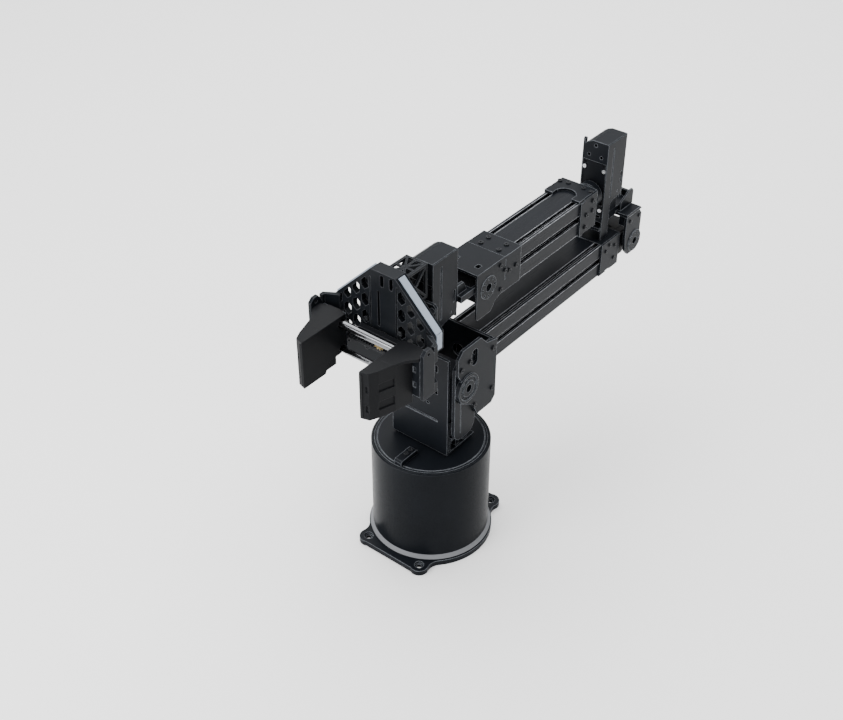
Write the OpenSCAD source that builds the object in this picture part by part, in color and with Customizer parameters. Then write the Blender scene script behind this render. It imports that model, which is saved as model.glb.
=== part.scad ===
// Desktop robot arm: round base, turning tower, two slotted beams folded one above the other,
// and a two-jaw gripper that slides on guide rods. Millimetres, +X forward, +Z up.
// The origin is the waist axis at the surface that the base stands on.

/* [Base] */
// Outer diameter of the round base cover
base_d = 120; // [117:1:122]
// Height of the turntable's top face above the table
base_h = 119; // [117:1:121]
// Thickness of the base plate
base_plate_t = 6; // [5:0.5:7]
// Distance of the mounting holes from the waist axis, forward and back
ear_x = 61; // [60:0.5:62]
// Distance of the mounting holes from the waist axis, left and right
ear_y = 33.5; // [32:0.5:35]
// Diameter of the four mounting holes
ear_hole_d = 5.5; // [4.5:0.1:6]

/* [Arm] */
// Height of the shoulder axis above the table
shoulder_z = 200; // [199:0.5:201]
// Distance from the shoulder axis back to the elbow axis
upper_arm_l = 330; // [326:1:334]
// Height of the forearm axis above the shoulder axis when the arm is folded
fold_gap = 75; // [74.5:0.5:76]
// Distance from the elbow axis forward to the wrist pitch axis
forearm_l = 272; // [270:1:274]
// Width of both beams
beam_w = 41; // [40:0.5:42]
// Height of both beams
beam_t = 38; // [37:0.5:39]

/* [Servos] */
// Width of a servo case
servo_w = 28; // [27:0.5:28.5]
// Length of a servo case
servo_l = 50; // [48:0.5:50]
// Depth of a servo case along its output axis
servo_d = 34; // [33:0.5:34]
// Distance of the output axis from the near end of the case
servo_near = 14; // [13.5:0.5:14]

/* [Gripper] */
// Opening between the jaw faces at rest
jaw_gap = 65; // [63:1:66]
// Length of a jaw in front of its carriage
jaw_l = 46; // [42:1:48]
// Height of a jaw at its tip
jaw_h = 50; // [48:1:51]
// Diameter of the upper guide rod
rod_d = 8; // [7:0.5:8]

/* [Hidden] */
$fn = 64;
fit = 0.05;      // radial clearance of a running fit
screw_fit = 0.1; // radial clearance of a fastener in its hole
air = 0.5;       // gap between faces that pass each other
sheet = 3;       // thickness of the bracket plates

cover_r = base_d / 2;
cover_wall = 3;
table_r = cover_r - 3.2;
table_t = 6;
rim_r = 64;
ear_r = 9.5;
fillet_r = 14;

elbow_x = -upper_arm_l;
wrist_x = elbow_x + forearm_l;
fore_z = shoulder_z + fold_gap;
beam_y = beam_w / 2;
half_t = beam_t / 2;
clamp_t = 2;

tower_y = 34;
cheek_y = 40;
cheek_in = cheek_y - 3.4;
tower_front = 18.2;
tower_foot = base_h + 3;
tower_top = shoulder_z + 36;
shoulder_servo_d = cheek_in - 0.35;
arm_plate_y = 43.5;
arm_plate_in = arm_plate_y - sheet;
web_x = -46;

upper_beam_front = web_x;
upper_beam_back = -282;
elbow_block = [-269, -305];
elbow_plate_y = 27;
elbow_plate_in = elbow_plate_y - sheet;

roll_face = -276;
fore_block = [-218, -248];
fore_beam_back = -240;
fore_beam_front = -96;
fork_y = beam_y + clamp_t;
fork_front = -40;
fork_top = fore_z + half_t + 1.5;

box_back = -17;
box_face = box_back + servo_d;
box_top = fore_z + 59.5;

frame_face = 69;
frame_t = 14;
frame_back = frame_face - frame_t;
strip_x = [frame_back + 3.5, frame_face - 3.3];
frame_half = 56;
wing_half = 66;
skirt_half = 53;
wing_z = fore_z + 9;
frame_apex = fore_z + 84;
frame_low = fore_z - 37;
column_half = 15.5;
comb_t = 6;
rod_x = 88;
rod_rise = 14;
thin_rod_d = 5;
pinion_r = 6;
jaw_in = jaw_gap / 2;

black_metal = [0.09, 0.095, 0.11];
black_plastic = [0.06, 0.062, 0.07];
servo_case = [0.075, 0.08, 0.09];
steel = [0.72, 0.73, 0.75];
light_silver = [0.82, 0.86, 0.9];
board_green = [0.08, 0.25, 0.14];
brass = [0.7, 0.58, 0.3];

// ---------------------------------------------------------------- shared shapes

// A box given by its lowest and highest corners
module span(a, b) {
    translate(a) cube(b - a);
}

// Children at each point of a list
module at(points) {
    for (p = points) translate(p) children();
}

// Children as they are and mirrored to the right side
module both_sides() {
    children();
    mirror([0, 1, 0]) children();
}

// Turns +Z to point along +Y, along +X, or along -Y
module along_y() {
    rotate([-90, 0, 0]) children();
}
module along_x() {
    rotate([0, 90, 0]) children();
}

// Button-head screw whose head rests on z = 0, with its hex recess
module screw(r = 1.1, l = 5) {
    difference() {
        union() {
            cylinder(r = 1.9 * r, h = 1.1 * r);
            translate([0, 0, -l]) cylinder(r = r, h = l + 0.1);
        }
        translate([0, 0, 0.5 * r]) cylinder(r = 0.95 * r, h = 2 * r, $fn = 6);
    }
}

// Hole for that screw
module screw_hole(r = 1.1, l = 5) {
    translate([0, 0, -l - 0.3]) cylinder(r = r + screw_fit, h = l + 1);
}

// Flat plate in the XZ plane, from y0 to y1, cut to an outline of [x, z] points
module side_plate(outline, y0, y1) {
    translate([0, y1, 0]) rotate([90, 0, 0]) linear_extrude(y1 - y0) polygon(outline);
}

// Flat plate in the YZ plane, from x0 to x1, cut to an outline of [y, z] points
module cross_plate(outline, x0, x1) {
    translate([x0, 0, 0]) rotate([90, 0, 90]) linear_extrude(x1 - x0) polygon(outline);
}

// Rectangle with its four corners cut at 45 degrees
function cut_box(x0, y0, x1, y1, c) = [
    [x0 + c, y0], [x1 - c, y0], [x1, y0 + c], [x1, y1 - c],
    [x1 - c, y1], [x0 + c, y1], [x0, y1 - c], [x0, y0 + c]
];

// Servo case: output axis is +Z through the origin, the output face is z = 0,
// and the case runs along +Y away from the axis
module servo(d = servo_d) {
    far = servo_l - servo_near;
    lid = 6.5;
    difference() {
        translate([0, 0, -d]) linear_extrude(d) polygon(
            cut_box(-servo_w / 2, -servo_near, servo_w / 2, far, 1.6));
        for (z = [-lid, -d + lid]) difference() {
            translate([-servo_w, -servo_near - 5, z - 0.35]) cube([2 * servo_w, servo_l + 10, 0.7]);
            translate([0, 0, z - 1]) linear_extrude(2) polygon(
                cut_box(-servo_w / 2 + 0.6, -servo_near + 0.6, servo_w / 2 - 0.6, far - 0.6, 1.6));
        }
        for (x = [-1, 1], y = [-servo_near + 3.2, far - 3.2])
            translate([x * (servo_w / 2 - 3.2), y, -1.2]) cylinder(r = 1.6, h = 2);
        for (s = [-1, 1], y = [11, 20]) translate([s * (servo_w / 2 + 1.7) - 2.5, y, -d / 2 - 4]) cube([5, 5, 8]);
    }
}

// Round output horn on z = 0 with a raised boss and eight bolt holes
horn_r = 11;
horn_pcr = 7.6;
module horn(h, r = horn_r) {
    difference() {
        cylinder(r = r, h = h);
        for (i = [0:7]) rotate(i * 45 + 22.5) translate([horn_pcr, 0, h - 1.5]) cylinder(r = 1, h = 3);
        translate([0, 0, h - 1.2]) cylinder(r = 2.6, h = 3);
    }
}

// Bolt circle of a hub as holes through a plate that starts at z = 0
module hub_holes(t, ring_r = 12.5) {
    for (i = [0:7]) rotate(i * 45) translate([ring_r - 2.6, 0, -1]) cylinder(r = 1.2, h = t + 2);
    translate([0, 0, -1]) cylinder(r = 4.2, h = t + 2);
}

// Slotted beam along +X from 0 to l, centred on Y and Z
groove_y = 14.9;
groove_w = 5.2;
module slotted_beam(l) {
    rotate([90, 0, 90]) linear_extrude(l) difference() {
        square([beam_w, beam_t], center = true);
        for (sy = [-1, 1], sz = [-1, 1]) {
            translate([sy * groove_y, sz * (half_t - 1)]) square([groove_w, 2.4], center = true);
            translate([sy * (groove_y - 0.4), sz * (half_t - 3.9)]) square([groove_w + 2.4, 3.6], center = true);
        }
        for (sy = [-1, 1]) {
            translate([sy * (beam_y - 1), 0]) square([2.4, 7.4], center = true);
            translate([sy * (beam_y - 4.2), 0]) square([4.2, 11.6], center = true);
        }
        square([9, 15], center = true);
    }
}

// ---------------------------------------------------------------- base

ear_sites = [for (sx = [-1, 1], sy = [-1, 1]) [sx * ear_x, sy * ear_y]];
cover_screw_sites = [for (a = [45:90:315]) (cover_r - 8) * [cos(a), sin(a)]];

// Filler between the round rim and an ear, hollowed by a circle that touches both
module ear_fillet() {
    ear_dist = norm([ear_x, ear_y]);
    rim_leg = rim_r + fillet_r;
    ear_leg = ear_r + fillet_r;
    t = (pow(rim_leg, 2) - pow(ear_leg, 2) + pow(ear_dist, 2)) / (2 * ear_dist);
    s = sqrt(pow(rim_leg, 2) - pow(t, 2));
    u = [ear_x, ear_y] / ear_dist;
    c = t * u + s * [-u[1], u[0]];
    difference() {
        polygon([[0, 0], [ear_x, ear_y], c]);
        translate(c) circle(r = fillet_r);
    }
}

module base_outline() {
    circle(r = rim_r, $fn = 128);
    for (p = ear_sites) translate(p) circle(r = ear_r);
    square([2 * (ear_x + ear_r - 1), 2 * ear_y], center = true);
    for (sx = [0, 1], sy = [0, 1]) mirror([sx, 0]) mirror([0, sy]) ear_fillet();
}

module base_plate() {
    color(black_metal) difference() {
        union() {
            linear_extrude(base_plate_t) base_outline();
            cylinder(r = cover_r - cover_wall - 0.3, h = base_plate_t + 3, $fn = 128);
        }
        for (p = ear_sites) translate([p[0], p[1], -1]) {
            cylinder(d = ear_hole_d, h = base_plate_t + 2);
            translate([0, 0, base_plate_t - 1.5]) cylinder(d = ear_hole_d + 4, h = 5);
        }
        for (p = cover_screw_sites) translate([p[0], p[1], -1]) {
            cylinder(r = 1.6 + screw_fit, h = 12);
            cylinder(r = 3.3, h = 2.9);
        }
    }
}

module base_cover() {
    inner_r = cover_r - cover_wall;
    ledge_z = base_h - table_t - 0.6;
    skirt_r = cover_r + 3;
    z0 = base_plate_t;
    color(black_metal) difference() {
        rotate_extrude($fn = 128) polygon([
            [inner_r, z0], [skirt_r, z0], [skirt_r, z0 + 1.6], [cover_r, z0 + 5.2],
            [cover_r, base_h - 1.2], [cover_r - 1.2, base_h], [table_r + 0.5, base_h],
            [table_r + 0.5, ledge_z], [46, ledge_z], [46, ledge_z - 3.5], [49, ledge_z - 3.5],
            [inner_r, ledge_z - 8], [inner_r, z0 + 9], [inner_r - 11, z0 + 9],
            [inner_r - 11, z0 + 4], [inner_r, z0 + 4]]);
        for (p = cover_screw_sites) translate([p[0], p[1], z0]) cylinder(r = 1.6 + screw_fit, h = 7);
        span([-cover_r - 2, -9, 24], [-cover_r + 8, 9, 40]);
    }
}

module waist_servo() {
    color(servo_case) translate([0, 0, waist_face]) rotate(90) servo();
}

module waist_servo_mount() {
    top = waist_face - servo_d - 0.1;
    color(black_metal) difference() {
        union() {
            span([-38, -servo_w / 2 - 3, top - sheet], [18, servo_w / 2 + 3, top]);
            for (sx = [-38, 15]) span([sx, -servo_w / 2 - 3, base_plate_t + 3.1],
                                      [sx + 3, servo_w / 2 + 3, top - sheet + 0.5]);
            for (sx = [-42, 15]) span([sx, -servo_w / 2 - 3, base_plate_t + 3.1],
                                      [sx + 9, servo_w / 2 + 3, base_plate_t + 6]);
        }
        translate([-10, 0, top - sheet - 1]) cylinder(r = 8, h = sheet + 2);
    }
}

race_r = 40;
ball_r = 2.4;
race_z = base_h - table_t - 6;
waist_face = race_z - 4;

module bearing_outer_ring() {
    color(steel) difference() {
        translate([0, 0, race_z - 3.5]) difference() {
            cylinder(r = 46 - fit, h = 7, $fn = 128);
            translate([0, 0, -1]) cylinder(r = race_r + 1.2, h = 9, $fn = 128);
        }
        translate([0, 0, race_z]) rotate_extrude($fn = 96) translate([race_r, 0]) circle(r = ball_r + fit, $fn = 32);
    }
    color(steel) translate([0, 0, race_z - 3.5 - 2]) difference() {
        cylinder(r = 52, h = 2, $fn = 128);
        translate([0, 0, -1]) cylinder(r = 44, h = 4, $fn = 128);
    }
}

module bearing_balls() {
    balls = 24;
    color(steel) for (i = [0:balls - 1]) rotate(i * 360 / balls)
        translate([race_r, 0, race_z]) sphere(r = ball_r, $fn = 24);
}

module control_board() {
    z = base_plate_t + 12;
    color(board_green) difference() {
        span([19, -24, z], [41, 24, z + 1.6]);
        for (y = [-20, 20], x = [23, 37]) translate([x, y, z - 1]) cylinder(r = 1.3, h = 4);
    }
    color(black_plastic) span([26, -12, z + 1.6], [38, 0, z + 3]);
    color(light_silver) span([24, 8, z + 1.6], [34, 18, z + 8]);
    color(brass) for (y = [-20, 20], x = [23, 37]) translate([x, y, base_plate_t + 3])
        cylinder(r = 2.2, h = z - base_plate_t - 3, $fn = 6);
}

module base_screws() {
    color(steel) for (p = cover_screw_sites) translate([p[0], p[1], 0]) mirror([0, 0, 1])
        translate([0, 0, -1.9]) screw(1.6, 9);
}

module power_inlet() {
    color(black_plastic) difference() {
        span([-cover_r - 1.2, -8.7, 24.3], [-cover_r + 7.5, 8.7, 39.7]);
        translate([-cover_r - 2, 0, 32]) along_x() cylinder(r = 4.2, h = 7);
    }
    color(steel) translate([-cover_r, 0, 32]) along_x() cylinder(r = 1.1, h = 7);
}

// ---------------------------------------------------------------- turret

foot_sites = [for (sx = [-14, 6], sy = [-24, 24]) [sx, sy, base_h + sheet]];
index_sites = [[36, 3], [43, 3]];

module turntable() {
    z0 = base_h - table_t;
    color(black_metal) difference() {
        union() {
            translate([0, 0, z0]) cylinder(r = table_r, h = table_t, $fn = 128);
            translate([0, 0, race_z - 3.5]) cylinder(r = 33 - fit, h = z0 - race_z + 3.6, $fn = 128);
        }
        translate([0, 0, base_h - 0.6]) difference() {
            cylinder(r = table_r - 2.4, h = 2, $fn = 128);
            translate([0, 0, -1]) cylinder(r = table_r - 3.2, h = 4, $fn = 128);
        }
        translate([0, 0, race_z - 8]) cylinder(r = 24, h = z0 - race_z + 8.01 - 1);
        for (p = foot_sites) translate([p[0], p[1], base_h - 4]) cylinder(r = 1.3 + screw_fit, h = 6);
        for (p = index_sites) translate([p[0], p[1], base_h - 4]) cylinder(r = 1.3 + screw_fit, h = 6);
    }
}

module bearing_inner_ring() {
    color(steel) difference() {
        translate([0, 0, race_z - 3.5]) difference() {
            cylinder(r = race_r - 1.2, h = 7, $fn = 128);
            translate([0, 0, -1]) cylinder(r = 33, h = 9, $fn = 128);
        }
        translate([0, 0, race_z]) rotate_extrude($fn = 96) translate([race_r, 0]) circle(r = ball_r + fit, $fn = 32);
    }
}

module waist_horn() {
    z0 = waist_face + 0.2;
    color(steel) translate([0, 0, z0]) {
        horn(3, 13);
        difference() {
            translate([0, 0, 3]) cylinder(r = 23.5, h = base_h - table_t - 1 - z0 - 3);
            translate([0, 0, 2]) cylinder(r = 8.8, h = 9);
        }
    }
}

front_slots = [[20.2, 222], [20.2, 196], [-20.2, 222], [-20.2, 196]];
front_holes = [[10, 230], [10, 177.5], [-10, 230], [-10, 177.5]];
boss_r = 15;

module turret_bracket() {
    rear = -18;
    post_r = 10;
    inner_y = 27;
    cheek_low = tower_foot + 16;
    color(black_metal) {
        // foot plate with the front plate standing on it
        difference() {
            union() {
                span([rear - 8, -tower_y + 4, base_h], [tower_front - 3.5, tower_y - 4, base_h + sheet]);
                span([tower_front - sheet, -tower_y, tower_foot], [tower_front, tower_y, tower_top]);
                span([rear - 8, -tower_y, tower_foot - 0.1], [tower_front - 1, tower_y, tower_foot + 2]);
            }
            for (p = front_slots) translate([0, p[0], p[1]]) {
                translate([0, 0, 2.6]) along_x() cylinder(r = 1.6, h = 40);
                translate([0, 0, -2.6]) along_x() cylinder(r = 1.6, h = 40);
                span([1, -1.6, -2.6], [40, 1.6, 2.6]);
            }
            for (p = front_holes) translate([0, p[0], p[1]]) along_x() cylinder(r = 1.5, h = 40);
            span([tower_front - 0.9, -22, 158.8], [tower_front + 1, 22, 161.2]);
            for (p = foot_sites) translate([p[0], p[1], 0]) {
                translate([0, 0, base_h - 1]) cylinder(r = 1.3 + screw_fit, h = 6);
                translate([0, 0, tower_foot]) cylinder(r = 3, h = 20);
            }
        }
        both_sides() {
            // recessed wall behind the front plate, stepped outward below the cheek
            span([-servo_w / 2, inner_y - 2, tower_foot + 1.9], [tower_front - sheet + 0.1, inner_y, cheek_low + 20]);
            span([14.2, inner_y - 0.1, tower_foot + 1.9], [tower_front - sheet + 0.1, tower_y - 1, tower_top - 2]);
            span([tower_front - 8.5, tower_y - 4, tower_foot + 1.9], [tower_front - 6.5, tower_y - 1.5, cheek_low + 20]);
            for (x = [-16, -4]) span([x, inner_y - 0.1, tower_foot + 1.9], [x + 6, tower_y - 2, cheek_low + 4]);
            span([-17, inner_y - 0.2, cheek_low + 2], [tower_front - 4, cheek_in + 0.1, cheek_low + 4.5]);
            // cheek that carries the shoulder servo, with a round lower end
            difference() {
                union() {
                    side_plate([[rear + 0.6, cheek_low + 12], [14.8, cheek_low + 12], [14.8, 226], [9, 232],
                                [-12, 232], [rear + 0.6, 226]], cheek_in, cheek_y);
                    for (x = [rear + 0.6 + post_r + 2, 14.8 - post_r - 2]) translate([x, cheek_in, cheek_low + 12])
                        along_y() cylinder(r = post_r + 2, h = cheek_y - cheek_in);
                    span([rear + 12.6, cheek_in, cheek_low], [2.8, cheek_y, cheek_low + 14]);
                }
                translate([0, 0, shoulder_z]) along_y() cylinder(r = boss_r - 2, h = cheek_y + 5);
                span([4.6, cheek_y - 0.8, cheek_low + 8], [5.6, cheek_y + 1, 215]);
            }
        }
    }
}

module index_block() {
    z = base_h;
    color(black_metal) difference() {
        side_plate([[30, z], [table_r - 0.5, z], [table_r - 0.5, z + 4], [table_r - 2.5, z + 6],
                    [32, z + 6], [30, z + 4]], -1.5, 7.5);
        for (p = index_sites) translate([p[0], p[1], z - 1]) cylinder(r = 1.3 + screw_fit, h = 8);
    }
}

module shoulder_servo_left() {
    color(servo_case) translate([0, cheek_in - 0.05, shoulder_z]) along_y()
        servo(shoulder_servo_d);
}

module shoulder_servo_right() {
    color(servo_case) mirror([0, 1, 0]) translate([0, cheek_in - 0.05, shoulder_z]) along_y()
        servo(shoulder_servo_d);
}

module turret_screws() {
    color(steel) {
        at(foot_sites) screw(1.3, 5.5);
        for (p = index_sites) translate([p[0], p[1], base_h + 6]) screw(1.3, 8.5);
    }
}

// ---------------------------------------------------------------- upper arm

arm_plate_outline = [
    [web_x, 164], [-40, 158], [-17, 158], [-9, 174], [10, 186], [10, 214], [15, 221], [15, 240],
    [8, 247], [-20, 247], [-30, 236], [web_x, 232]
];
arm_plate_sites = [[-3, 228.5], [10, 226], [-12, 172], [-40, 224], [-40, 176]];
web_low = 168;
web_high = 231.5;

module shoulder_horns() {
    color(steel) both_sides() translate([0, cheek_in + 0.15, shoulder_z]) along_y()
        horn(arm_plate_in - cheek_in - 0.15, boss_r - 2.4);
}

module shoulder_plate() {
    difference() {
        union() {
            side_plate(arm_plate_outline, arm_plate_in, arm_plate_y);
            translate([0, arm_plate_in, shoulder_z]) along_y() cylinder(r = 15.5, h = sheet + 1.8);
        }
        translate([0, arm_plate_y + 0.6, shoulder_z]) along_y() difference() {
            cylinder(r = 12.8, h = 4);
            translate([0, 0, -1]) cylinder(r = 8.6, h = 6);
        }
        translate([0, arm_plate_in, shoulder_z]) along_y() hub_holes(5, 13.2);
        for (z = [225.5, 235]) translate([-10.5, 0, z]) along_y() cylinder(r = 4.4, h = 60);
        span([-14.9, 30, 225.5], [-6.1, 50, 235]);
        for (p = arm_plate_sites) translate([p[0], arm_plate_y, p[1]]) along_y()
            screw_hole(1.3, sheet + 2);
    }
}
module shoulder_plate_left() {
    color(black_metal) shoulder_plate();
}
module shoulder_plate_right() {
    color(black_metal) mirror([0, 1, 0]) shoulder_plate();
}

// Cross wall between the two shoulder plates, which carries the beam
module shoulder_web() {
    color(black_metal) difference() {
        union() {
            span([web_x, -arm_plate_in, web_low], [web_x + sheet, arm_plate_in, web_high]);
            both_sides() for (z = [web_low + 0.1, web_high - 14.1])
                span([web_x, arm_plate_in - 3.5, z], [web_x + 10, arm_plate_in, z + 14]);
        }
        translate([web_x - 1, 0, shoulder_z]) along_x() cylinder(r = 7, h = 5);
        both_sides() for (z = [224, 176]) translate([-40, arm_plate_in + 1, z]) along_y()
            translate([0, 0, -6]) cylinder(r = 1.3 + screw_fit, h = 8);
    }
}

module upper_arm_beam() {
    color(black_metal) translate([upper_beam_back, 0, shoulder_z])
        slotted_beam(upper_beam_front - upper_beam_back - 0.02);
}

block_side_sites = [[-278, 208], [-285, 213], [-296, 208], [-296, 192]];

module elbow_end_block() {
    x0 = elbow_block[1];
    x1 = elbow_block[0];
    y = beam_y + clamp_t;
    color(black_metal) difference() {
        cross_plate(cut_box(-y, shoulder_z - half_t - 1, y, shoulder_z + half_t + 1, 1.2), x0, x1);
        span([upper_beam_back - 0.05, -beam_y - 0.05, shoulder_z - half_t - 0.05],
             [x1 + 1, beam_y + 0.05, shoulder_z + half_t + 0.05]);
        span([x0 - 1, -servo_d / 2 - 0.1, shoulder_z - servo_w / 2 - 0.1],
             [upper_beam_back - 3, servo_d / 2 + 0.1, shoulder_z + servo_w / 2 + 0.1]);
        both_sides() for (p = block_side_sites) translate([p[0], y, p[1]]) along_y() screw_hole(1.1, 1.8);
        span([-290, -y - 1, 176], [-280, y + 1, 182.6]);
    }
    both_sides() color(black_metal) difference() {
        side_plate([[x0 + 5.9, 187], [x0 - 14, 187], [x0 - 18, 192], [x0 - 18, 208],
                    [x0 - 14, 213], [x0 + 5.9, 213]], servo_d / 2 + 0.15, servo_d / 2 + 2.2);
        translate([elbow_x, 0, shoulder_z]) along_y() cylinder(r = 14, h = 60);
    }
}

module elbow_servo() {
    color(servo_case) translate([elbow_x, servo_d / 2, shoulder_z]) along_y() rotate(-90) servo();
}

module upper_arm_screws() {
    y = beam_y + clamp_t;
    color(steel) both_sides() {
        for (p = arm_plate_sites) translate([p[0], arm_plate_y, p[1]]) along_y()
            screw(1.3, p[0] < -30 ? sheet + 3 : sheet - 0.3);
        for (p = block_side_sites) translate([p[0], y, p[1]]) along_y() screw(1.1, 1.6);
    }
}

// ---------------------------------------------------------------- elbow link

bridge_z = [236.5, 240];
elbow_plate_sites = [[-336, 229], [-318, 229]];
link_side = 15.4;

module elbow_horns() {
    color(steel) both_sides() translate([elbow_x, servo_d / 2 + 0.2, shoulder_z]) along_y()
        horn(elbow_plate_in - servo_d / 2 - 0.2);
}

module elbow_plate() {
    difference() {
        union() {
            side_plate([[-341, 194], [-335, 186.5], [-319, 186.5], [-312, 194], [-309.5, 212],
                        [-309.5, bridge_z[0]], [-336, bridge_z[0]], [-341, bridge_z[0] - 6]],
                       elbow_plate_in, elbow_plate_y);
            translate([elbow_x, elbow_plate_in, shoulder_z]) along_y() cylinder(r = 12.5, h = sheet + 1);
        }
        translate([elbow_x, elbow_plate_in, shoulder_z]) along_y() hub_holes(5);
        for (p = elbow_plate_sites) translate([p[0], elbow_plate_y, p[1]]) along_y() screw_hole(1.1, 4.5);
    }
}
module elbow_plate_left() {
    color(black_metal) elbow_plate();
}
module elbow_plate_right() {
    color(black_metal) mirror([0, 1, 0]) elbow_plate();
}

// Saddle over the elbow plates with the rear wall that carries the roll servo
module elbow_bridge() {
    back = -341;
    front = -309.5;
    color(black_metal) difference() {
        union() {
            side_plate([[front, bridge_z[0]], [front, bridge_z[1]], [back + 4, bridge_z[1]],
                        [back, bridge_z[1] - 4], [back, bridge_z[0]]], -elbow_plate_y, elbow_plate_y);
            both_sides() span([back + 6, 16, bridge_z[0] - 12], [front - 2, elbow_plate_in, bridge_z[0] + 0.1]);
            // cheeks that rise behind the roll servo
            both_sides() side_plate([[front - 4, bridge_z[1] - 0.1], [front - 4, 250], [-331, 258.5],
                                     [-336, 258.5], [-338.5, 255], [-338.5, bridge_z[1] - 0.1]],
                                    link_side - 2, link_side);
            span([-338.4, -link_side + 1, bridge_z[1] - 0.1], [-335.5, link_side - 1, 254]);
            // tray under the roll servo
            span([-338, -11.5, bridge_z[0]], [roll_face - 14, 11.5, 246]);
            span([-309, -11.4, 245.9], [roll_face - 2, 11.4, 258.8]);
        }
        for (x = [-331, -320]) translate([x, 0, bridge_z[0] - 1]) cylinder(r = 2, h = 12);
        both_sides() for (p = elbow_plate_sites) translate([p[0], elbow_plate_y, p[1]]) along_y()
            screw_hole(1.1, 5.5);
    }
}

module roll_servo() {
    color(servo_case) translate([roll_face, 0, fore_z]) rotate([90, 0, 90]) servo();
}

// Channel that wraps a servo standing upright; x0 is the back, x1 the output face
module servo_channel(x0, x1) {
    y = servo_w / 2;
    z0 = fore_z - servo_near;
    z1 = box_top;
    step = fore_z + servo_l - servo_near;
    difference() {
        union() {
            // back wall, and a roof that falls off towards the right side
            span([x0 - 1.5, -y - 1, z0], [x0 - 0.05, y + 1, z1 - 9]);
            cross_plate([[-link_side, z1 - 10], [link_side, z1 - 10], [link_side, z1 - 0.8],
                         [link_side - 0.8, z1], [-3, z1], [-8, z1 - 1.8], [-12, z1 - 4.6],
                         [-link_side, z1 - 8.6]], x0 - 1.5, x1 + 1);
            both_sides() side_plate([[x0 - 1.5, z0 + 9], [x0 + 3, z0 + 3], [x0 + 14, z0 + 2], [x1 - 14, z0],
                                     [x1 + 1, z0], [x1 + 1, z1 - 9.9], [x0 - 1.5, z1 - 9.9]],
                                    y + 0.05, link_side);
            // front lip above the servo
            span([x1 + 0.05, -y - 1, step + 0.2], [x1 + 1, y + 1, z1 - 9.9]);
        }
        span([x0 + 0.5, -y + 1, step + 2], [x1 - 1, y - 1, z1 - 9]);
        for (p = [[0, z1 - 5], [-7.5, z1 - 17], [7.5, z1 - 17]]) translate([x1 - 3, p[0], p[1]])
            along_x() cylinder(r = 1.8, h = 6);
        both_sides() {
            span([x0 + 1.7, y - 1, z0 + 18], [x0 + 4.3, y + 4, z0 + 31]);
            translate([x0 + 8, y - 1, z0 + 9]) along_y() cylinder(r = 1.1, h = 5);
            // long slot between the front post and the side wall
            span([x1 - 12.5, y + 0.6, z0 + 8], [x1 - 9.8, y + 4, z1 - 8]);
        }
    }
}

module roll_bracket() {
    front = roll_face + 1;
    low = shoulder_z + half_t + 2;
    color(black_metal) {
        servo_channel(roll_face - servo_d, roll_face);
        // front posts that reach down past the servo, joined by two lips
        both_sides() span([front - 14, servo_w / 2 + 0.05, low], [front, link_side, fore_z - servo_near + 0.1]);
        difference() {
            span([roll_face + 0.05, -link_side + 0.1, 242], [front, link_side - 0.1, fore_z - 12.6]);
            span([roll_face - 1, -12, 247.5], [front + 1, 12, 250]);
            for (s = [-1, 1]) translate([roll_face - 1, s * 11.5, 256.6]) along_x() cylinder(r = 1.1 + screw_fit, h = 4);
        }
        span([front - 14, -servo_w / 2 - 0.6, 233], [front + 3, servo_w / 2 + 0.6, 236.4]);
        // small ear at the roof's right side
        translate([roll_face - 3, -link_side + 0.1, box_top - 10]) span([0, 0, 0], [4, 2.4, 8.5]);
        translate([roll_face - 1, -link_side + 0.1, box_top - 1.5]) along_y() cylinder(r = 2, h = 2.4);
    }
}

module elbow_screws() {
    color(steel) both_sides()
        for (p = elbow_plate_sites) translate([p[0], elbow_plate_y, p[1]]) along_y() screw(1.1, 5);
}

// Four bright screws that hold the roll servo in its bracket
module roll_screws() {
    color(steel) both_sides() {
        translate([roll_face, 11.8, fore_z + 27.5]) along_x() screw(1.1, 0);
        translate([roll_face + 1, 11.5, fore_z - 18.4]) along_x() screw(1.1, 0.9);
    }
}

// ---------------------------------------------------------------- forearm

fore_side_sites = [[-241, 276], [-229, 276], [-240, 288], [-228, 262]];
fore_top_sites = [[-241, 9.3], [-241, -9.3], [-240, 19], [-240, -19]];
fork_top_sites = [[-102.5, 10.7], [-102.5, -10.7], [-90, 10.7], [-90, -10.7]];
fork_side_sites = [[-77, 290], [-84.5, 281], [-91.5, 277.5], [-103, 278], [-78.5, 262]];
yoke_arm = [17.35, 20.2];
wrist_servo_d = 34;

module roll_hub() {
    color(steel) translate([roll_face + 0.2, 0, fore_z]) along_x() horn(3);
    color(black_metal) translate([roll_face + 3.2, 0, fore_z]) along_x() difference() {
        cylinder(r = 14, h = fore_block[1] - roll_face - 3.2);
        translate([0, 0, 8]) difference() {
            cylinder(r = 15, h = 6);
            translate([0, 0, -1]) cylinder(r = 12.6, h = 8);
        }
    }
}

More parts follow.
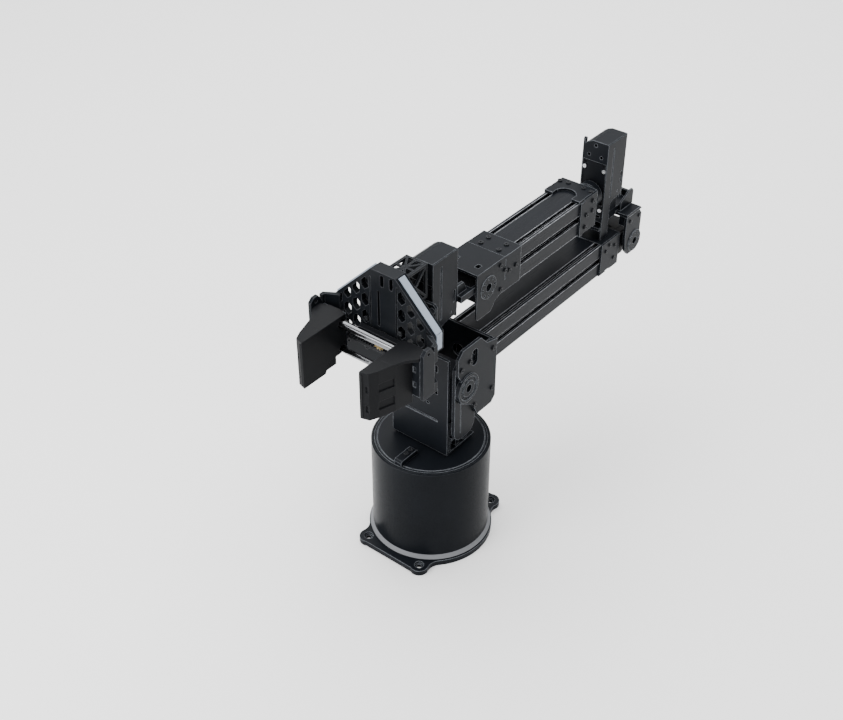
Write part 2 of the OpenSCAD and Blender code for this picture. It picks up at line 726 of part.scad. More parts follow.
module forearm_end_block() {
    y = fork_y;
    top = fore_z + half_t + 3;
    color(black_metal) difference() {
        union() {
            cross_plate(cut_box(-y, fore_z - half_t - 1.5, y, top, 1.4), fore_block[1], fore_block[0] - 6);
            span([fore_block[0] - 6.1, -y, fore_z - half_t - 1.5], [fore_block[0], y, fore_z + half_t - 0.5]);
            for (s = [-1, 1]) span([fore_block[0] - 6.1, s * 16.5 - 5, fore_z + half_t - 0.6],
                                   [fore_block[0] + 3, s * 16.5 + 5, top]);
        }
        span([fore_beam_back - 0.05, -beam_y - 0.05, fore_z - half_t - 0.05],
             [fore_block[0] + 4, beam_y + 0.05, fore_z + half_t + 0.05]);
        // rounded notch over the beam's flat
        translate([fore_block[0] - 2, 0, fore_z + half_t + 0.05]) cylinder(r = 11.6, h = 10);
        both_sides() for (p = fore_side_sites) translate([p[0], y, p[1]]) along_y() screw_hole(1.3, 1.7);
        for (p = fore_top_sites) translate([p[0], p[1], top]) screw_hole(1.3, 2.2);
    }
}

module forearm_beam() {
    color(black_metal) translate([fore_beam_back, 0, fore_z])
        slotted_beam(fore_beam_front - fore_beam_back);
}

// Fork on the beam's front end: a top plate and two cheeks that hold the wrist axis
module wrist_fork() {
    rear = -111;
    seam = -83;
    low = fore_z - half_t;
    y_in = beam_y + 0.05;
    top_in = fore_z + half_t + 0.05;
    color(black_metal) difference() {
        union() {
            span([rear, -fork_y, top_in], [seam - 0.6, fork_y, fork_top + 0.6]);
            span([seam - 0.7, -fork_y, top_in], [fork_front, fork_y, fork_top + 1]);
            both_sides() side_plate([[rear, low + 1], [-78, low + 1], [-70, low - 2], [-63, low - 11],
                                     [fork_front - 2, low - 11], [fork_front, low - 9],
                                     [fork_front, fork_top + 0.9], [rear, fork_top + 0.5]], y_in, fork_y);
            both_sides() translate([wrist_x, y_in, fore_z]) along_y() cylinder(r = 12, h = clamp_t + 0.6);
            // rib that holds the servo from above
            span([-93, -13, fore_z + servo_w / 2 + 0.05], [-76, 13, top_in + 0.1]);
        }
        both_sides() translate([wrist_x, y_in, fore_z]) along_y() hub_holes(3, 12);
        for (p = fork_top_sites) translate([p[0], p[1], fork_top + 0.6]) screw_hole(1.3, 3);
        both_sides() for (p = fork_side_sites) translate([p[0], fork_y, p[1]]) along_y() screw_hole(1.2, 2);
        both_sides() span([-57, 10.5, top_in - 1], [-51, 15, fork_top + 5]);
        both_sides() span([seam - 3, fork_y - 1, low + 14], [seam - 2, fork_y + 1, fork_top - 3]);
    }
}

module forearm_screws() {
    color(steel) {
        both_sides() for (p = fore_side_sites) translate([p[0], fork_y, p[1]]) along_y() screw(1.3, 1.6);
        for (p = fore_top_sites) translate([p[0], p[1], fore_z + half_t + 3]) screw(1.3, 2);
        for (p = fork_top_sites) translate([p[0], p[1], fork_top + 0.6]) screw(1.3, 1.8);
        both_sides() for (p = fork_side_sites) translate([p[0], fork_y, p[1]]) along_y() screw(1.2, 1.8);
    }
}

// ---------------------------------------------------------------- wrist

module wrist_horns() {
    color(steel) both_sides() translate([wrist_x, wrist_servo_d / 2 + 0.1, fore_z]) along_y()
        difference() {
            cylinder(r = 8, h = yoke_arm[1] - wrist_servo_d / 2 - 0.1);
            for (i = [0:7]) rotate(i * 45) translate([6, 0, 1.5]) cylinder(r = 0.8, h = 3);
        }
}

// Wrist servo, fixed inside the fork with its output axis across the arm
module wrist_servo() {
    color(servo_case) translate([wrist_x, wrist_servo_d / 2, fore_z]) along_y() rotate(90) servo(wrist_servo_d);
}

// Yoke: an arm on each end of the wrist servo, joined in front by a tongue to the next servo
module wrist_neck() {
    arm_r = 15;
    front = box_back - 1.55;
    tongue = [fore_z + 1.2, fore_z + 8.2];
    color(black_metal) difference() {
        union() {
            both_sides() {
                translate([wrist_x, yoke_arm[0], fore_z]) along_y()
                    cylinder(r = arm_r, h = yoke_arm[1] - yoke_arm[0]);
                span([wrist_x, yoke_arm[0], tongue[0]], [front, yoke_arm[1], tongue[1]]);
                // gusset that rises towards the servo bracket
                side_plate([[wrist_x + 21.1, tongue[0] + 0.1], [front, tongue[0] + 0.1], [front, fore_z + 18.2],
                            [wrist_x + 29.5, fore_z + 18], [wrist_x + 28, fore_z + 15], [wrist_x + 26, fore_z + 10.5],
                            [wrist_x + 25, tongue[1] - 0.1], [wrist_x + 21.1, tongue[1] - 0.1]],
                           link_side - 3, link_side - 0.1);
            }
            span([wrist_x + 21, -yoke_arm[1], tongue[0]], [front, yoke_arm[1], tongue[1]]);
            span([front - 2, -link_side, tongue[0]], [front, link_side, tongue[1] + 10]);
        }
        both_sides() translate([wrist_x, yoke_arm[0] - 1, fore_z]) along_y() cylinder(r = 8 + 0.05, h = 10);
        for (y = [-9, 9]) translate([(wrist_x + 21 + front) / 2, y, tongue[0] - 1]) cylinder(r = 1.6, h = 12);
    }
}

module rotate_servo() {
    color(servo_case) translate([box_face, 0, fore_z]) rotate([90, 0, 90]) servo();
}

module rotate_bracket() {
    color(black_metal) servo_channel(box_back, box_face);
}

// ---------------------------------------------------------------- gripper

mount_x = box_face + 4;
gripper_servo_face = frame_back - 0.05;
gripper_servo_d = 20;

module rotate_hub() {
    color(steel) translate([box_face + 0.7, 0, fore_z]) along_x() horn(mount_x - box_face - 0.7);
}

// Plate on the wrist's output with four standoffs to the frame
module gripper_mount() {
    color(black_metal) {
        difference() {
            cross_plate(cut_box(-23.5, fore_z - 20, 23.5, fore_z + 22, 3), mount_x, mount_x + sheet);
            translate([mount_x, 0, fore_z]) rotate([0, 90, 0]) hub_holes(sheet);
        }
        for (sy = [-1, 1], sz = [-1, 1]) translate([mount_x + sheet - 0.1, sy * 19.5, fore_z + sz * 15.5])
            along_x() difference() {
                cylinder(r = 3, h = frame_back - mount_x - sheet + 0.1);
                translate([0, 0, frame_back - mount_x - sheet - 4]) cylinder(r = 1.3 + screw_fit, h = 6);
            }
    }
}

module gripper_servo() {
    color(servo_case) translate([gripper_servo_face, 0, fore_z]) rotate([90, 0, 90]) rotate(180)
        servo(gripper_servo_d);
}

cell_pitch_y = 10.5;
cell_pitch_z = 18;

// Outline of the frame in Y and Z, and the honeycomb windows on its left half
module frame_outline(inset = 0) {
    a = frame_apex - 1.4142 * inset;
    h = frame_half - inset;
    top = 14 - 0.4 * inset;
    polygon([[-h, wing_z - 0.1], [h, wing_z - 0.1], [h, a - h], [top, a - top], [-top, a - top], [-h, a - h]]);
}
function cell(c) = [for (q = [[0, 7.2], [4.1, 3.8], [4.1, -3.8], [0, -7.2], [-4.1, -3.8], [-4.1, 3.8]]) c + q];
cell_centres = [for (k = [0:3], j = [0:3])
    let (c = [20.8 + k * cell_pitch_y, fore_z - 1 + (j + (k % 2) / 2) * cell_pitch_z])
    if (c[0] + c[1] < frame_apex - 2) c];

// Honeycomb windows of both halves, kept inside the rim
module honeycomb() {
    intersection() {
        union() for (c = cell_centres, s = [-1, 1]) polygon([for (q = cell(c)) [s * q[0], q[1]]]);
        union() {
            frame_outline(3.2);
            translate([-frame_half + 3.2, fore_z - 9]) square([2 * frame_half - 6.4, 20]);
        }
    }
}

module gripper_frame() {
    slot_z = [fore_z + 13, fore_z + 50];
    color(black_metal) difference() {
        union() {
            // plate with the sloping rim, thin where the honeycomb is
            translate([frame_face - comb_t, 0, 0]) rotate([90, 0, 90]) linear_extrude(comb_t) difference() {
                union() {
                    frame_outline();
                    translate([-skirt_half, frame_low]) square([2 * skirt_half, wing_z - frame_low]);
                }
                honeycomb();
                for (s = [-1, 1]) translate([s * 42, fore_z - 19]) circle(r = 1.3);
            }
            translate([frame_back, 0, 0]) rotate([90, 0, 90]) linear_extrude(frame_t) difference() {
                frame_outline();
                difference() {
                    frame_outline(3);
                    translate([-column_half, wing_z - 1]) square([2 * column_half, 100]);
                }
                translate([-frame_half + 3, wing_z - 2]) square([frame_half - column_half - 3, 5]);
                translate([column_half, wing_z - 2]) square([frame_half - column_half - 3, 5]);
            }
            span([frame_back, -column_half, frame_low], [frame_face - comb_t + 0.1, column_half, wing_z + 10]);
            // bosses for the four standoffs
            for (sy = [-1, 1], sz = [-1, 1]) translate([frame_back, sy * 19.5, fore_z + sz * 15.5])
                along_x() cylinder(r = 3.4, h = frame_t - comb_t + 0.1);
            // wall behind the innermost honeycomb cells
            span([frame_face - comb_t - 1.6, -27, frame_low + 20], [frame_face - comb_t + 0.1, 27, fore_z + 54]);
            // cheeks that hold the ends of the rods, each on two slanting arms
            both_sides() {
                side_plate([[rod_x - 8, fore_z - 21], [rod_x + 7, fore_z - 21], [rod_x + 7, fore_z + 26],
                            [rod_x + 3, fore_z + 30], [rod_x - 3, fore_z + 30], [rod_x - 8, fore_z + 22]],
                           wing_half - 3.5, wing_half);
                for (z = [[fore_z - 21, 10], [fore_z + 11, 17]]) translate([0, 0, z[0]]) linear_extrude(z[1]) polygon([
                    [frame_face - 0.1, 50], [frame_face + 1.4, 50], [rod_x - 11.2, wing_half - 3.8],
                    [rod_x - 7.9, wing_half - 3.4], [rod_x - 7.9, wing_half - 0.1], [rod_x - 12.5, wing_half - 0.1],
                    [frame_face + 0.1, frame_half - 0.1], [frame_face - 0.1, frame_half - 0.2]]);
            }
        }
        // centre column: a slot, a shallow panel and oblong holes
        span([frame_face - 6, -6.4, slot_z[0]], [frame_face + 1, -3.9, slot_z[1]]);
        for (y = [-14.6, 15.1]) span([frame_face - 1.6, y - 0.6, fore_z + 4], [frame_face + 1, y + 0.6, fore_z + 62]);
        for (p = [[-1, 61.5], [9.3, 62]]) {
            for (z = [-4, 4]) translate([frame_face - 6, p[0], fore_z + p[1] + z]) along_x() cylinder(r = 2, h = 10);
            span([frame_face - 6, p[0] - 2, fore_z + p[1] - 4], [frame_face + 1, p[0] + 2, fore_z + p[1] + 4]);
        }
        // window for the pinion
        translate([frame_back - 1, 0, fore_z]) along_x() cylinder(r = pinion_r + 2.4, h = frame_t + 2);
        // holes for the standoff screws and for the rods
        for (sy = [-1, 1], sz = [-1, 1]) translate([frame_back - 1, sy * 19.5, fore_z + sz * 15.5])
            along_x() cylinder(r = 1.3 + screw_fit, h = frame_t + 2);
        both_sides() for (s = [-1, 1]) translate([rod_x, 50, fore_z + s * rod_rise]) along_y()
            cylinder(d = (s > 0 ? rod_d : thin_rod_d) + 0.02, h = wing_half - 51.4);
        both_sides() translate([rod_x, 50, fore_z + 25]) along_y() cylinder(r = 1.6, h = 20);
    }
}

// Bright strips on the frame's two sloping edges, each turned down at its outer end
module edge_strips() {
    t = 1.3;
    y0 = 15;
    run = (frame_half - y0) * sqrt(2);
    color(light_silver) both_sides() {
        translate([strip_x[0], y0, frame_apex - y0]) rotate([-45, 0, 0])
            translate([0, 0, 0.03]) cube([strip_x[1] - strip_x[0], run, t]);
        span([strip_x[0], frame_half + 0.03, frame_apex - frame_half - 16],
             [strip_x[1], frame_half + t, frame_apex - frame_half + 0.2]);
    }
}

// X-ribbed brace from the frame's column back over the wrist
module lattice_brace() {
    x0 = mount_x + 0.5;
    x1 = frame_back - 0.05;
    z0 = fore_z + 26;
    z1 = fore_z + 62;
    w = 12;
    rib = 2;
    len = norm([x1 - x0 - 2, z1 - z0 - 2]) - 2;
    tilt = atan2(z1 - z0, x1 - x0);
    color(black_metal) {
        for (y = [-w, w - 2.6]) {
            span([x0, y, z1 - 2.6], [x1, y + 2.6, z1]);
            span([x0, y, z0], [x1, y + 2.6, z0 + 2.6]);
            span([x0, y, z0 + 0.1], [x0 + 2.6, y + 2.6, z1 - 0.1]);
            span([x1 - 2.6, y, z0 + 0.1], [x1, y + 2.6, z1 - 0.1]);
            translate([(x0 + x1) / 2, y + 0.1, (z0 + z1) / 2]) for (s = [-1, 1])
                rotate([0, s * tilt, 0]) span([-len / 2, 0, -rib / 2], [len / 2, 2.4, rib / 2]);
        }
        for (x = [x0, x1 - 2.6], z = [z0, z1 - 2.6]) span([x + 0.1, -w + 0.1, z + 0.1], [x + 2.5, w - 0.1, z + 2.5]);
        translate([(x0 + x1) / 2, 0, z1 - 2.5]) for (s = [-1, 1]) rotate([0, 0, s * 33])
            span([-17, -rib / 2, 0], [17, rib / 2, 2.3]);
        span([x0 + 1, -1.2, z1 - 2.4], [x1 - 1, 1.2, z1 - 0.3]);
        span([(x0 + x1) / 2 - 1.2, -w + 1, z1 - 2.3], [(x0 + x1) / 2 + 1.2, w - 1, z1 - 0.4]);
    }
}

module guide_rods() {
    color(steel) both_sides() {
        translate([rod_x, -0.1, fore_z + rod_rise]) along_y() cylinder(d = rod_d, h = wing_half - 1.4);
        translate([rod_x, -0.1, fore_z - rod_rise]) along_y() cylinder(d = thin_rod_d, h = wing_half - 1.4);
    }
}

module gripper_screws() {
    color(steel) {
        for (sy = [-1, 1], sz = [-1, 1]) translate([frame_face, sy * 19.5, fore_z + sz * 15.5])
            along_x() screw(1.3, frame_t - 1);
    }
}

// ---------------------------------------------------------------- jaws and their drive

rack_x = [70.5, 76.5];
tooth_m = 1;
teeth = 12;

module drive_pinion() {
    color(brass) translate([0, 0, fore_z]) {
        translate([rack_x[0], 0, 0]) along_x() difference() {
            union() {
                cylinder(r = pinion_r - 1.1 * tooth_m, h = 6);
                for (i = [0:teeth - 1]) rotate((i + 0.5) * 360 / teeth) translate([0, 0, 0])
                    linear_extrude(6) polygon([[4, -0.95], [pinion_r - 0.1, -0.6], [pinion_r + 0.7, -0.3],
                                               [pinion_r + 0.7, 0.3], [pinion_r - 0.1, 0.6], [4, 0.95]]);
            }
            translate([0, 0, -1]) cylinder(r = 1.5, h = 8);
        }
        translate([gripper_servo_face + 0.3, 0, 0]) along_x() cylinder(r = 3.5, h = rack_x[0] - gripper_servo_face - 0.25);
    }
}

// Rack above the pinion, whose teeth point down; y0 and y1 are its ends
module rack(y0, y1) {
    pitch = PI * tooth_m;
    base_z = pinion_r + 1.1;
    n0 = ceil((y0 + 1.5) / pitch);
    n1 = floor((y1 - 1.5) / pitch);
    span([rack_x[0] + 0.2, y0, base_z], [rack_x[1] - 0.2, y1, base_z + 2.2]);
    for (i = [n0:n1]) translate([rack_x[0] + 0.2, i * pitch, base_z + 0.1])
        rotate([90, 0, 90]) linear_extrude(rack_x[1] - rack_x[0] - 0.4)
            polygon([[-0.95, 0], [-0.3, -1.75], [0.3, -1.75], [0.95, 0]]);
}

carriage_y = [jaw_in + 3, 61.5];
carriage_back = rod_x - 9.5;

// Block that slides on both rods, for the left side
module carriage() {
    color(black_metal) difference() {
        span([carriage_back, carriage_y[0], fore_z - 20], [rod_x + 6.5, carriage_y[1], fore_z + 19]);
        translate([rod_x, 20, fore_z + rod_rise]) along_y() cylinder(d = rod_d + 2 * fit, h = 60);
        translate([rod_x, 20, fore_z - rod_rise]) along_y() cylinder(d = thin_rod_d + 2 * fit, h = 60);
        translate([rod_x - 30, 48, fore_z]) along_x() cylinder(r = 5, h = 60);
        for (z = [-8, 8]) span([rod_x + 5.5, 54, fore_z + z - 3], [rod_x + 8, 57, fore_z + z + 3]);
    }
}

// Jaw for the left side: thick in front of its carriage, and tapering to the tip
module jaw() {
    tip_x = rod_x + 6 + jaw_l;
    back_x = rod_x - 5;
    y0 = jaw_in;
    top = fore_z + 22;
    low = top - jaw_h;
    front = rod_x + 6.6;
    color(black_plastic) difference() {
        union() {
            // grip blade, stepped up at its root
            side_plate([[back_x, low + 11], [rod_x + 17, low + 11], [rod_x + 20, low + 7], [rod_x + 24, low],
                        [tip_x - 2, low], [tip_x, low + 2], [tip_x, top - 3], [tip_x - 2, top - 2],
                        [rod_x + 30, top], [back_x, top]], y0, y0 + 2.9);
            // body of the finger, in front of the carriage
            translate([0, 0, low]) linear_extrude(jaw_h - 0.1) polygon([
                [front, y0 + 2.8], [rod_x + 24, y0 + 2.8], [rod_x + 24, y0 + 0.1], [tip_x - 0.1, y0 + 0.1],
                [tip_x - 2.5, y0 + 8.5], [tip_x - 11, y0 + 12.5], [tip_x - 27, y0 + 17.5], [front, y0 + 21]]);
            // fan-shaped cover over the carriage
            translate([0, 0, fore_z + 19.1]) linear_extrude(top - fore_z - 19.1) polygon([
                [back_x, y0], [rod_x + 28, y0], [rod_x + 28, y0 + 16], [rod_x + 16, y0 + 21],
                [rod_x + 7, y0 + 28.6], [rod_x - 3, y0 + 28.8], [rod_x - 7, y0 + 20], [rod_x - 7.5, y0 + 9]]);
        }
        // outer notches near the tip and pockets in the outer face
        for (z = [low + 8, low + 29]) span([tip_x - 2.8, y0 + 5.5, z], [tip_x + 1, y0 + 13, z + 7]);
        for (z = [low + 8, low + 27]) translate([tip_x - 26, y0 + 17, z]) rotate([0, 0, -18])
            span([0, -0.9, 0], [16, 6, 9]);
        for (s = [-1, 1]) translate([rod_x, y0 - 1, fore_z + s * rod_rise]) along_y()
            cylinder(r = rod_d / 2 + 0.6, h = 6);
    }
}

module left_carriage() {
    carriage();
}
module left_jaw() {
    jaw();
}
// Rack and its tab on the carriage; s is 1 for the left side and -1 for the right
module rack_body(s) {
    color(steel) translate([0, 0, fore_z]) rotate([s > 0 ? 0 : 180, 0, 0]) {
        rack(-24, carriage_y[0] + 5);
        span([rack_x[1] - 1, carriage_y[0] + 0.4, pinion_r + 1.2], [carriage_back, carriage_y[0] + 4.8, pinion_r + 3.2]);
    }
}

module left_rack() {
    rack_body(1);
}
module right_carriage() {
    mirror([0, 1, 0]) carriage();
}
module right_jaw() {
    mirror([0, 1, 0]) jaw();
}
module right_rack() {
    rack_body(-1);
}

base_plate();
base_cover();
waist_servo();
waist_servo_mount();
bearing_outer_ring();
bearing_balls();
control_board();
base_screws();
power_inlet();
turntable();
bearing_inner_ring();
waist_horn();
turret_bracket();
index_block();
shoulder_servo_left();
shoulder_servo_right();
turret_screws();
shoulder_horns();
shoulder_plate_left();
shoulder_plate_right();
shoulder_web();
upper_arm_beam();
elbow_end_block();
elbow_servo();
upper_arm_screws();
elbow_horns();
elbow_plate_left();
elbow_plate_right();
elbow_bridge();
roll_servo();
roll_bracket();
elbow_screws();
roll_screws();
roll_hub();
forearm_end_block();
forearm_beam();
wrist_fork();
forearm_screws();
wrist_horns();
wrist_servo();
wrist_neck();
rotate_servo();
rotate_bracket();
rotate_hub();
gripper_mount();
gripper_servo();
gripper_frame();
edge_strips();
lattice_brace();
guide_rods();
gripper_screws();
drive_pinion();
left_carriage();
left_jaw();
left_rack();
right_carriage();
right_jaw();
right_rack();
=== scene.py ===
import math

import bmesh
import bpy
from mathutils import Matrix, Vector

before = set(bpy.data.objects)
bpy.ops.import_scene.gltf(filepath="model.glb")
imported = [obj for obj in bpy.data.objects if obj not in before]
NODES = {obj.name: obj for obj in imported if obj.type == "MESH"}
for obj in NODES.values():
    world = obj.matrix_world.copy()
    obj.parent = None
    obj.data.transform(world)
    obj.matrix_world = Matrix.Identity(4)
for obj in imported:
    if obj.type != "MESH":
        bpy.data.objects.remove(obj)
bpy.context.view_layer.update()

MM = 0.001

# ---------------------------------------------------------------- camera
# The view of the object: from its left front, well above it
AZIMUTH = math.radians(128.6)
ELEVATION = math.radians(36.7)
DISTANCE = 1.26
AIM = Vector((-0.0285, -0.0349, 0.1797))
LENS_MM = 53.85
SENSOR_MM = 36.0
CLIP_NEAR = 0.01
CLIP_FAR = 50.0


def look_along(obj, direction):
    """Turns a camera or a light so that it looks along a direction."""
    obj.rotation_mode = "QUATERNION"
    obj.rotation_quaternion = direction.to_track_quat("-Z", "Y")


def make_camera():
    data = bpy.data.cameras.new("camera")
    data.lens = LENS_MM
    data.sensor_width = SENSOR_MM
    data.sensor_fit = "HORIZONTAL"
    data.clip_start = CLIP_NEAR
    data.clip_end = CLIP_FAR
    camera = bpy.data.objects.new("camera", data)
    back = Vector((
        math.sin(AZIMUTH) * math.cos(ELEVATION),
        -math.cos(AZIMUTH) * math.cos(ELEVATION),
        math.sin(ELEVATION),
    ))
    camera.location = AIM + back * DISTANCE
    look_along(camera, -back)
    bpy.context.scene.collection.objects.link(camera)
    bpy.context.scene.camera = camera


# ---------------------------------------------------------------- materials
# Noise seldom leaves this range, so it is stretched from it
NOISE_RANGE = (0.3, 0.7)
CLOUD_SCALE = 22.0
CLOUD_ROUGHNESS = 0.03
# Noise that breaks the painted edge highlight into patches
EDGE_BREAKUP_SCALE = 140.0
EDGE_BREAKUP_RANGE = (0.3, 0.6)
EDGE_BREAKUP_SHARE = (0.45, 1.0)
# How much smoother an edge under the painted highlight is than the flat beside it
EDGE_POLISH = 0.1
# The lean of a rounded normal where the painted edge highlight starts to show, and where it shows in full
EDGE_LEAN = (0.01, 0.16)
EDGE_SAMPLES = 6
BUMP_MM = 0.04
# The painted highlight band fades in and out over this height
BAND_FADE_MM = 0.2


class Tree:
    """A material's node tree, with short calls to add and join nodes."""

    def __init__(self, name):
        self.material = bpy.data.materials.new(name)
        self.material.use_nodes = True
        self.nodes = self.material.node_tree.nodes
        self.links = self.material.node_tree.links
        self.shader = self.nodes["Principled BSDF"]

    def feed(self, socket, value):
        """Joins another node's output to a socket, or sets the socket's own value."""
        if isinstance(value, bpy.types.NodeSocket):
            self.links.new(value, socket)
        else:
            socket.default_value = value

    def add(self, kind, inputs=None, **settings):
        node = self.nodes.new(kind)
        for key, value in settings.items():
            setattr(node, key, value)
        for key, value in (inputs or {}).items():
            self.feed(node.inputs[key], value)
        return node

    def math(self, operation, a, b, clamp=False):
        return self.add("ShaderNodeMath", {0: a, 1: b}, operation=operation, use_clamp=clamp).outputs[0]

    def spread(self, value, low, high, to_low, to_high):
        """value from low..high to to_low..to_high, held at the ends."""
        inputs = {"Value": value, "From Min": low, "From Max": high, "To Min": to_low, "To Max": to_high}
        return self.add("ShaderNodeMapRange", inputs, clamp=True).outputs[0]

    def mix(self, share, a, b):
        """Colour a where share is 0, and colour b where it is 1."""
        return self.add("ShaderNodeMix", {0: share, 6: a, 7: b}, data_type="RGBA").outputs[2]

    def noise(self, at, scale, detail=3.0, stretch=(1.0, 1.0, 1.0)):
        mapped = self.add("ShaderNodeMapping", {"Vector": at, "Scale": stretch})
        inputs = {"Vector": mapped.outputs[0], "Scale": scale, "Detail": detail, "Roughness": 0.6}
        return self.add("ShaderNodeTexNoise", inputs).outputs[0]

    def to_shader(self, **sockets):
        for key, value in sockets.items():
            self.feed(self.shader.inputs[key.replace("_", " ")], value)


def rgba(colour):
    return (*colour, 1.0)


def grey(value):
    return (value, value, value, 1.0)


def edge_highlight_mask(tree, radius_mm, strength):
    """How much the painted edge highlight shows, from 0 on a flat to strength on a sharp edge, and the
    rounded normal.

    It goes by how far the rounded normal leans from the true one.
    """
    rounded = tree.add("ShaderNodeBevel", {"Radius": radius_mm * MM}, samples=EDGE_SAMPLES).outputs[0]
    normal = tree.add("ShaderNodeNewGeometry").outputs["Normal"]
    both = {0: rounded, 1: normal}
    dot = tree.add("ShaderNodeVectorMath", both, operation="DOT_PRODUCT").outputs["Value"]
    lean = tree.math("SUBTRACT", 1.0, dot)
    return tree.spread(lean, *EDGE_LEAN, 0.0, strength), rounded


def band_mask(tree, at, low_mm, high_mm):
    """1 between two heights, and 0 below and above them."""
    height = tree.add("ShaderNodeSeparateXYZ", {0: at}).outputs["Z"]
    rise = tree.spread(height, low_mm * MM, (low_mm + BAND_FADE_MM) * MM, 0.0, 1.0)
    fall = tree.spread(height, (high_mm - BAND_FADE_MM) * MM, high_mm * MM, 1.0, 0.0)
    return tree.math("MULTIPLY", rise, fall)


def surface(name, colour, metallic, roughness, grain=(1400.0, 0.12), stretch=(1.0, 1.0, 1.0),
            edge=(0.1, 0.107, 0.12), highlight_strength=0.5, radius_mm=0.45, cloud=0.15, rough_spread=0.08, band=None,
            specular=0.06):
    """A finish with slow colour clouds, a fine grain in roughness and bump, and a painted highlight along the
    edges, broken up by noise, with lower roughness there.

    grain is the grain's scale and depth. band is two heights in mm and the colour of a painted highlight
    between them.
    """
    tree = Tree(name)
    grain_scale, grain_depth = grain
    at = tree.add("ShaderNodeTexCoord").outputs["Object"]
    clouds = tree.noise(at, CLOUD_SCALE, 4.0)
    fine = tree.noise(at, grain_scale, 2.0, stretch)
    edge_breakup = tree.noise(at, EDGE_BREAKUP_SCALE, 5.0)
    dark = rgba([c * (1.0 - cloud) for c in colour])
    light = rgba([c * (1.0 + cloud) for c in colour])
    body = tree.mix(tree.spread(clouds, *NOISE_RANGE, 0.0, 1.0), dark, light)
    # Painted highlight along the edges: its mask comes from the rounded normal and is broken up by noise
    mask, rounded = edge_highlight_mask(tree, radius_mm, highlight_strength)
    edge_highlight_and_polish = tree.math("MULTIPLY", mask, tree.spread(edge_breakup, *EDGE_BREAKUP_RANGE, *EDGE_BREAKUP_SHARE), clamp=True)
    # The edge colour is a painted highlight, laid over the body colour
    body = tree.mix(edge_highlight_and_polish, body, rgba(edge))
    if band:
        low_mm, high_mm, highlight_colour = band
        # Painted highlight between two heights
        body = tree.mix(band_mask(tree, at, low_mm, high_mm), body, rgba(highlight_colour))
    by_grain = tree.spread(fine, *NOISE_RANGE, roughness - rough_spread, roughness + rough_spread)
    by_clouds = tree.spread(clouds, *NOISE_RANGE, -CLOUD_ROUGHNESS, CLOUD_ROUGHNESS)
    rough = tree.math("ADD", by_grain, by_clouds, clamp=True)
    rough = tree.math("SUBTRACT", rough, tree.math("MULTIPLY", edge_highlight_and_polish, EDGE_POLISH), clamp=True)
    inputs = {"Height": fine, "Normal": rounded, "Strength": grain_depth, "Distance": BUMP_MM * MM}
    bump = tree.add("ShaderNodeBump", inputs).outputs[0]
    tree.to_shader(Base_Color=body, Metallic=metallic, Roughness=rough, Normal=bump,
                   Specular_IOR_Level=specular)
    return tree.material


def make_materials():
    """One finish for each kind of surface, keyed by a short name."""
    along_x = (0.02, 1.0, 1.0)
    along_y = (1.0, 0.03, 1.0)
    bright = (0.72, 0.75, 0.8)
    return {
        # Each edge colour below is a painted highlight along that finish's edges
        "anodised": surface("black_anodised", (0.0058, 0.007, 0.0092), 0.0, 0.38,
                            edge=(0.28, 0.3, 0.33), highlight_strength=0.75, radius_mm=1.1),
        "cover": surface("black_anodised_cover", (0.0056, 0.0066, 0.0084), 0.0, 0.32, grain=(1400.0, 0.08),
                         # The band is a painted highlight on the chamfer ring low on the cover
                         band=(7.4, 11.3, (0.16, 0.165, 0.175)), edge=(0.14, 0.15, 0.165),
                         radius_mm=0.7, specular=0.04),
        "extruded": surface("black_extruded", (0.006, 0.0072, 0.0096), 0.0, 0.34, grain=(900.0, 0.1),
                            stretch=along_x, edge=(0.6, 0.62, 0.66), highlight_strength=0.95, radius_mm=1.3),
        "servo": surface("servo_case_black", (0.0058, 0.0066, 0.0084), 0.0, 0.42, grain=(1800.0, 0.2),
                         edge=(0.08, 0.084, 0.094), highlight_strength=0.4),
        "moulded": surface("moulded_black", (0.0056, 0.006, 0.007), 0.0, 0.42, grain=(1600.0, 0.18),
                           edge=(0.05, 0.053, 0.06), highlight_strength=0.45),
        "printed": surface("frame_black", (0.0066, 0.0078, 0.0098), 0.0, 0.38, grain=(1500.0, 0.15),
                           edge=(0.16, 0.168, 0.185), highlight_strength=0.6, radius_mm=0.8),
        "dark_steel": surface("black_oxide_steel", (0.012, 0.013, 0.015), 0.2, 0.32, edge=(0.2, 0.205, 0.22)),
        "steel": surface("machined_steel", (0.6, 0.61, 0.63), 0.7, 0.3, edge=bright, cloud=0.05),
        "ground": surface("ground_steel", (0.15, 0.153, 0.16), 1.0, 0.16, grain=(2600.0, 0.05),
                          stretch=along_y, edge=(0.4, 0.41, 0.43), cloud=0.03, rough_spread=0.04),
        "silver": surface("silver_strip", (0.3, 0.345, 0.41), 0.1, 0.36, grain=(1500.0, 0.08),
                          edge=(0.7, 0.75, 0.82), cloud=0.04),
        "brass": surface("brass_gear", (0.35, 0.25, 0.1), 1.0, 0.3, edge=(0.6, 0.5, 0.3), cloud=0.06),
        "board": surface("circuit_green", (0.02, 0.12, 0.05), 0.0, 0.4, edge=(0.3, 0.35, 0.25), cloud=0.2),
    }


# Servo cases have the servo finish, and a node that is neither a servo nor listed here is anodised
FINISH = {
    "anodised": ["waist_servo_mount"],
    "cover": ["base_cover"],
    "extruded": ["upper_arm_beam", "forearm_beam"],
    "moulded": ["left_jaw", "right_jaw", "power_inlet"],
    "printed": ["gripper_frame", "lattice_brace"],
    "dark_steel": ["base_screws", "turret_screws", "upper_arm_screws", "elbow_screws", "forearm_screws",
                   "gripper_screws", "shoulder_horns", "elbow_horns", "wrist_horns", "left_rack",
                   "right_rack"],
    "steel": ["bearing_outer_ring", "bearing_inner_ring", "bearing_balls", "waist_horn", "rotate_hub",
              "roll_screws"],
    "ground": ["guide_rods"],
    "silver": ["edge_strips"],
    "brass": ["drive_pinion"],
    "board": ["control_board"],
}


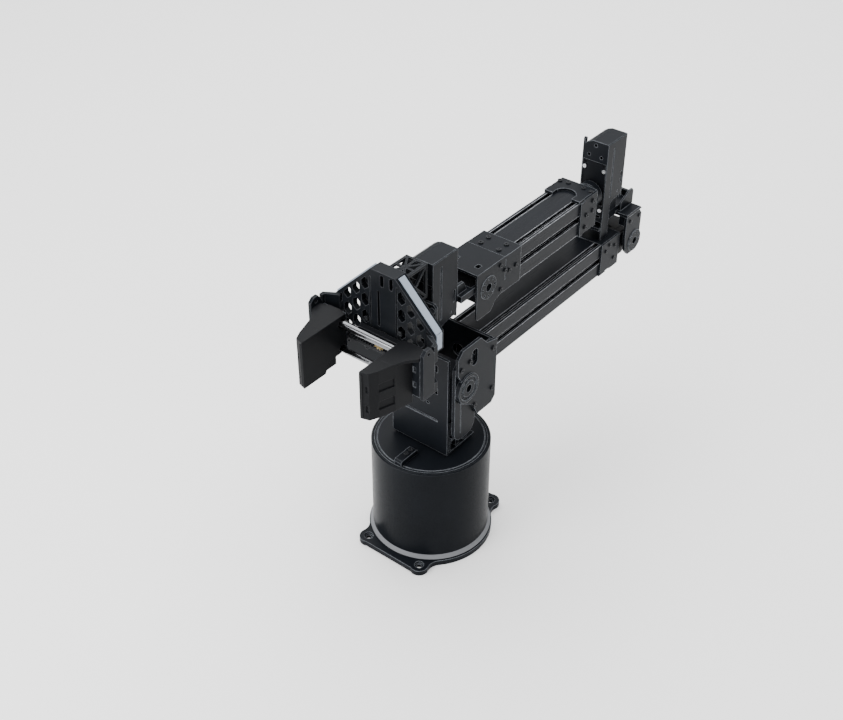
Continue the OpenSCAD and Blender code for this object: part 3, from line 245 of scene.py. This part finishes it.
def finish_nodes():
    materials = make_materials()
    finish_of = {node: finish for finish, members in FINISH.items() for node in members}
    for name, obj in NODES.items():
        is_servo = name.endswith("servo") or "_servo_" in name
        finish = finish_of.get(name, "servo" if is_servo else "anodised")
        obj.data.materials.clear()
        obj.data.materials.append(materials[finish])


# ---------------------------------------------------------------- stage and light
FLOOR_HALF = 6.0
# The floor lies just below the base plate's underside, so the two faces don't share a plane
FLOOR_DROP_MM = 0.2
FLOOR_NOISE_SCALE = 3.0
FLOOR_TONES = (0.93, 0.95)
LIGHT_AIM = Vector((-0.08, 0.0, 0.18))
WORLD_STRENGTH = 0.45
# Each soft box: name, direction from the object, distance in m, sides in m, power in W
SOFT_BOXES = [
    ("top_box", (-0.12, -0.1, 1.0), 3.0, (5.0, 5.0), 330.0),
    ("back_box", (-0.63, -0.5, 0.72), 2.2, (1.8, 1.2), 14.0),
    ("front_box", (1.0, -0.25, 0.42), 1.8, (1.1, 0.8), 26.0),
]


def make_floor():
    mesh = bpy.data.meshes.new("floor")
    grid = bmesh.new()
    bmesh.ops.create_grid(grid, x_segments=1, y_segments=1, size=FLOOR_HALF)
    grid.to_mesh(mesh)
    grid.free()
    floor = bpy.data.objects.new("floor", mesh)
    floor.location = (0.0, 0.0, -FLOOR_DROP_MM * MM)
    bpy.context.scene.collection.objects.link(floor)
    tree = Tree("floor_white")
    at = tree.add("ShaderNodeTexCoord").outputs["Object"]
    low, high = FLOOR_TONES
    tone = tree.mix(tree.noise(at, FLOOR_NOISE_SCALE), grey(low), grey(high))
    tree.to_shader(Base_Color=tone, Roughness=0.7)
    mesh.materials.append(tree.material)


def make_area(name, direction, distance, sides, power):
    """A soft box that shines on the object from a direction."""
    data = bpy.data.lights.new(name, "AREA")
    data.shape = "RECTANGLE"
    data.size, data.size_y = sides
    data.energy = power
    light = bpy.data.objects.new(name, data)
    toward = Vector(direction).normalized()
    light.location = LIGHT_AIM + toward * distance
    look_along(light, -toward)
    bpy.context.scene.collection.objects.link(light)


def make_light():
    world = bpy.data.worlds.new("studio")
    world.use_nodes = True
    background = world.node_tree.nodes["Background"]
    background.inputs["Color"].default_value = grey(1.0)
    background.inputs["Strength"].default_value = WORLD_STRENGTH
    bpy.context.scene.world = world
    for box in SOFT_BOXES:
        make_area(*box)


make_camera()
finish_nodes()
make_floor()
make_light()
